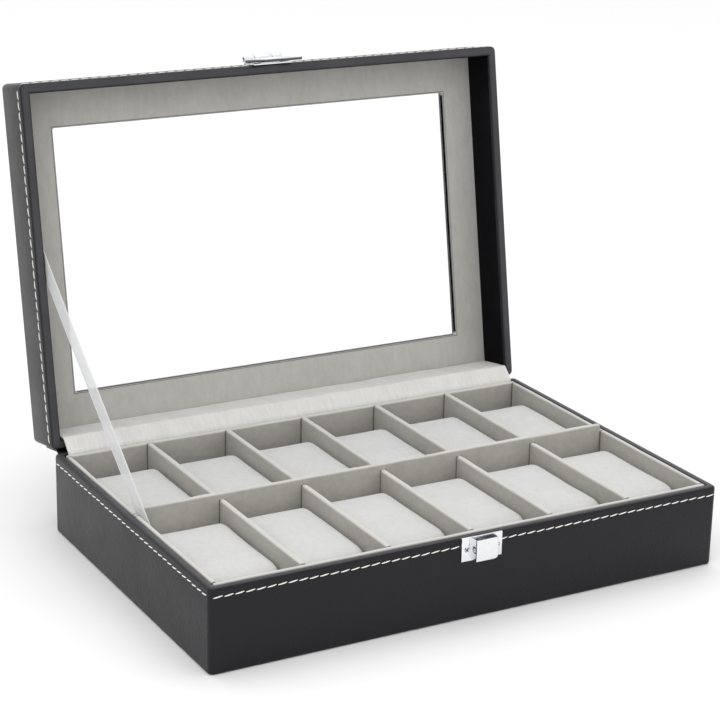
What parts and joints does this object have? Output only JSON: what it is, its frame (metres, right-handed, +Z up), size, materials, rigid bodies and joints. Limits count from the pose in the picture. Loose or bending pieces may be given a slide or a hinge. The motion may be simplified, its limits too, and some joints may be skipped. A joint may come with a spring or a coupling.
{
  "type": "watch box",
  "caption": "Leather-covered watch box with a hinged lid that has a glass window, velvet-lined compartments, lift-out pillows, a ribbon stay and a snap hasp.",
  "frame": {"origin": "middle of the tray's underside, on the surface that the box stands on", "axes": "+X along the front to the right, +Y from the front to the hinge, +Z up; the lid stands open"},
  "size_m": [0.301, 0.2724, 0.2496],
  "materials": {
    "leather": "black satin leather with a fine grain",
    "board": "plain fibreboard, hidden",
    "thread": "cream sewing thread",
    "sheet": "black felt",
    "velvet": "warm grey short velvet",
    "flap_velvet": "light grey velvet",
    "pillow_velvet": "light grey velvet",
    "ribbon": "white satin ribbon",
    "glass": "clear flat glass",
    "chrome": "bright plated steel"
  },
  "bodies": {
    "tray": {"floor_board": "board", "tray_front_board": "board", "tray_back_board": "board", "tray_left_board": "board", "tray_right_board": "board", "tray_leather": "leather", "tray_stitching": "thread", "bottom_sheet": "sheet", "floor_lining": "velvet", "lining_front": "velvet", "lining_back": "velvet", "lining_left": "velvet", "lining_right": "velvet", "long_divider": "velvet", "cross_divider_1": "velvet", "cross_divider_2": "velvet", "cross_divider_3": "velvet", "cross_divider_4": "velvet", "cross_divider_5": "velvet", "catch_plate": "chrome", "catch_housing": "chrome", "catch_balls": "chrome", "catch_spring": "chrome", "catch_nails": "chrome", "hinge_strip": "leather", "hinge_flap": "flap_velvet", "ribbon_stay": "ribbon"},
    "lid": {"lid_front_board": "board", "lid_back_board": "board", "lid_left_board": "board", "lid_right_board": "board", "lid_top_board": "board", "lid_leather": "leather", "lid_stitching": "thread", "glass_pane": "glass", "glass_spacer": "board", "lid_panel": "velvet", "hasp_plate": "chrome", "hasp_nails": "chrome", "hasp_pin": "chrome"},
    "hasp": {"hasp": "chrome"},
    "pillow_front_1": {"pillow_front_1": "pillow_velvet"},
    "pillow_front_2": {"pillow_front_2": "pillow_velvet"},
    "pillow_front_3": {"pillow_front_3": "pillow_velvet"},
    "pillow_front_4": {"pillow_front_4": "pillow_velvet"},
    "pillow_front_5": {"pillow_front_5": "pillow_velvet"},
    "pillow_front_6": {"pillow_front_6": "pillow_velvet"},
    "pillow_back_1": {"pillow_back_1": "pillow_velvet"},
    "pillow_back_2": {"pillow_back_2": "pillow_velvet"},
    "pillow_back_3": {"pillow_back_3": "pillow_velvet"},
    "pillow_back_4": {"pillow_back_4": "pillow_velvet"},
    "pillow_back_5": {"pillow_back_5": "pillow_velvet"},
    "pillow_back_6": {"pillow_back_6": "pillow_velvet"}
  },
  "joints": [
    {"name": "lid_hinge", "type": "hinge", "parent": "tray", "child": "lid", "pos_m": [0, 0.101, 0.0455], "axis": [-1, 0, 0], "range_deg": [-100, 0], "deforming": ["hinge_strip", "hinge_flap", "ribbon_stay"]},
    {"name": "hasp_swing", "type": "hinge", "parent": "lid", "child": "hasp", "pos_m": [0.001, 0.14985, 0.2448], "axis": [-1, 0, 0], "range_deg": [0, 180]},
    {"name": "pillow_front_1_lift", "type": "slide", "parent": "tray", "child": "pillow_front_1", "axis": [0, 0, 1], "range_m": [0, 0.05]},
    {"name": "pillow_front_2_lift", "type": "slide", "parent": "tray", "child": "pillow_front_2", "axis": [0, 0, 1], "range_m": [0, 0.05]},
    {"name": "pillow_front_3_lift", "type": "slide", "parent": "tray", "child": "pillow_front_3", "axis": [0, 0, 1], "range_m": [0, 0.05]},
    {"name": "pillow_front_4_lift", "type": "slide", "parent": "tray", "child": "pillow_front_4", "axis": [0, 0, 1], "range_m": [0, 0.05]},
    {"name": "pillow_front_5_lift", "type": "slide", "parent": "tray", "child": "pillow_front_5", "axis": [0, 0, 1], "range_m": [0, 0.05]},
    {"name": "pillow_front_6_lift", "type": "slide", "parent": "tray", "child": "pillow_front_6", "axis": [0, 0, 1], "range_m": [0, 0.05]},
    {"name": "pillow_back_1_lift", "type": "slide", "parent": "tray", "child": "pillow_back_1", "axis": [0, 0, 1], "range_m": [0, 0.05]},
    {"name": "pillow_back_2_lift", "type": "slide", "parent": "tray", "child": "pillow_back_2", "axis": [0, 0, 1], "range_m": [0, 0.05]},
    {"name": "pillow_back_3_lift", "type": "slide", "parent": "tray", "child": "pillow_back_3", "axis": [0, 0, 1], "range_m": [0, 0.05]},
    {"name": "pillow_back_4_lift", "type": "slide", "parent": "tray", "child": "pillow_back_4", "axis": [0, 0, 1], "range_m": [0, 0.05]},
    {"name": "pillow_back_5_lift", "type": "slide", "parent": "tray", "child": "pillow_back_5", "axis": [0, 0, 1], "range_m": [0, 0.05]},
    {"name": "pillow_back_6_lift", "type": "slide", "parent": "tray", "child": "pillow_back_6", "axis": [0, 0, 1], "range_m": [0, 0.05]}
  ]
}
